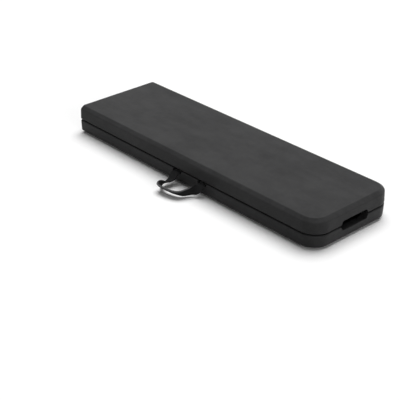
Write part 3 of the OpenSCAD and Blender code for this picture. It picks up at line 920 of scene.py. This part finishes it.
def zinc_steel():
    """Bright zinc plate on small steel pieces."""
    dark = (0.46, 0.47, 0.48)
    pale = (0.62, 0.62, 0.61)
    scratch_depth = 0.02 * mm
    s = new_material("zinc_plate")
    cloud = s.noise(260, detail=3)
    normal = s.bump(s.noise(1500), scratch_depth)
    rough = 0.26 + 0.16 * cloud
    return s.surface(Base_Color=s.mix(cloud, dark, pale), Metallic=1.0, Roughness=rough, Normal=normal)


def black_plastic():
    """Satin black plastic of the clips and foot caps."""
    dark = (0.012, 0.012, 0.012)
    pale = (0.018, 0.018, 0.019)
    grain_depth = 0.05 * mm
    s = new_material("satin_black_plastic")
    mottle = s.noise(90)
    normal = s.bump(s.noise(900), grain_depth)
    rough = 0.42 + 0.1 * mottle
    return s.surface(Base_Color=s.mix(mottle, dark, pale), Roughness=rough, Normal=normal)


def webbing():
    """Black polyester webbing: ribs along the strap, crossed by the weave, and a painted highlight along the
    doubled grip's edges.
    """
    dark = (0.008, 0.008, 0.0085)
    pale = (0.026, 0.026, 0.027)
    # Pale grey painted on the grip's edges as a highlight, standing in for light on them
    grip_edge_highlight = (0.14, 0.14, 0.144)
    rib_pitch = 2.1 * mm
    pick_pitch = 1.6 * mm
    weave_depth = 0.4 * mm
    edge_from = strap_w / 2 - 1.1 * mm
    edge_full = strap_w / 2 - 0.5 * mm
    s = new_material("webbing")
    across = s.attribute("across")
    rib = across.ripple(rib_pitch)
    pick = s.attribute("along").ripple(pick_pitch)
    weave = 0.5 + 0.25 * rib + 0.25 * (pick * rib)
    fuzz = s.noise(2500)
    edge = s.steps(abs(across), edge_from, edge_full)
    # Painted highlight: the webbing's outer edges are lightened where it is doubled at the grip, so that they read
    # as a lit line
    grip_highlight_share = edge * s.attribute("doubled") * (0.6 + 0.4 * fuzz)
    shade = s.mix(grip_highlight_share, s.mix(weave * 0.8 + fuzz * 0.2, dark, pale), grip_edge_highlight)
    normal = s.bump(weave, weave_depth)
    return s.surface(Base_Color=shade, Roughness=0.8, Specular_IOR_Level=0.15, Normal=normal)


def thread():
    """Black bonded thread."""
    dark = (0.01, 0.01, 0.011)
    pale = (0.035, 0.035, 0.037)
    twist_depth = 0.1 * mm
    s = new_material("thread")
    twist = s.noise(3000)
    normal = s.bump(twist, twist_depth)
    return s.surface(Base_Color=s.mix(twist, dark, pale), Roughness=0.5, Normal=normal)


def finish_nodes(material, slot):
    """Gives the CAD pieces of one slot their finish and eased edges."""
    for row in frame["record"]["subparts"]:
        if row["material_slot"] != slot:
            continue
        node = frame["nodes"][row["node"]]
        node.data.materials.clear()
        node.data.materials.append(material)
        weld = node.modifiers.new("weld", "WELD")
        weld.merge_threshold = weld_gap
        flats = node.modifiers.new("flats", "DECIMATE")
        flats.decimate_type = "DISSOLVE"
        flats.angle_limit = flat_angle
        edges = node.modifiers.new("edges", "BEVEL")
        edges.width = eased_edge
        edges.segments = eased_steps
        edges.limit_method = "ANGLE"
        edges.angle_limit = sharp_angle
        normals = node.modifiers.new("normals", "WEIGHTED_NORMAL")
        normals.keep_sharp = True


def pale_floor():
    """Floor that looks white, gives back little light and keeps the bench's shadow."""
    bm = bmesh.new()
    bmesh.ops.create_circle(bm, cap_ends=True, radius=floor_r, segments=floor_sides)
    bmesh.ops.translate(bm, vec=down * floor_drop, verts=bm.verts)
    mesh = bpy.data.meshes.new("floor")
    bm.to_mesh(mesh)
    bm.free()
    floor = bpy.data.objects.new("floor", mesh)
    scene.collection.objects.link(floor)
    s = new_material("floor")
    tone = s.mix(s.seen(), floor_tone, white)
    mesh.materials.append(s.surface(Base_Color=tone, Roughness=0.9, Specular_IOR_Level=0.0))


def surroundings():
    """White all round, dimmer overhead in reflections, with a low even light."""
    scene.world = bpy.data.worlds.new("surroundings")
    s = Shading(scene.world)
    way = s.node("ShaderNodeTexCoord", "Generated")
    height = s.node("ShaderNodeSeparateXYZ", "Z", None, {"Vector": way})
    shown = 1 - sky_dim * s.steps(height, sky_dim_from, sky_dim_to)
    inputs = {"Value": s.seen(), "To Min": sky_light, "To Max": shown}
    level = s.node("ShaderNodeMapRange", 0, None, inputs)
    light = s.node("ShaderNodeBackground", 0, None, {"Color": (*white, 1), "Strength": level})
    s.node("ShaderNodeOutputWorld", 0, None, {"Surface": light})


def turned_to(way):
    """The turn of a lamp or camera that looks one way."""
    return way.to_track_quat("-Z", "Y").to_euler()


def broad_light(name, side, strength, spread):
    """Even light from one side, as soft as its spread in degrees."""
    data = bpy.data.lights.new(name, "SUN")
    data.energy = strength
    data.angle = math.radians(spread)
    lamp = bpy.data.objects.new(name, data)
    lamp.visible_glossy = False
    lamp.rotation_euler = turned_to(-Vector(side))
    scene.collection.objects.link(lamp)


def camera():
    """The photograph's viewpoint."""
    data = bpy.data.cameras.new("camera")
    data.sensor_width = camera_sensor
    data.lens = camera_lens
    eye = bpy.data.objects.new("camera", data)
    eye.location = camera_place
    eye.rotation_euler = turned_to(camera_way)
    scene.collection.objects.link(eye)
    scene.camera = eye


scene.view_settings.view_transform = "Standard"
camera()
pale_floor()
surroundings()
for light_name, light_row in lights.items():
    broad_light(light_name, *light_row)

shell_finish = moulded_plastic()
coat_finish = coated_steel()
zinc_finish = zinc_steel()
moulded_half("base_moulded_half", "base", shell_finish, strapped=True, turned_over=False)
moulded_half("lid_moulded_half", "lid", shell_finish, strapped=False, turned_over=True)
webbing_strap(webbing())
grip_stitching(thread())
finish_nodes(coat_finish, "coated_steel")
finish_nodes(zinc_finish, "zinc_steel")
finish_nodes(black_plastic(), "black_plastic")
for half in ("base", "lid"):
    pan_screws(f"{half}_rail_screws", half, pan_head_h, zinc_finish)
    pan_screws(f"{half}_bracket_screws", half, pan_head_h, zinc_finish)
    domed_pins(f"{half}_ear_rivets", half, rivet_head_h, zinc_finish)
pan_screws("strap_screws", "base", strap_head_h, coat_finish)
domed_pins("hinge_pins", "base", pin_head_h, zinc_finish)
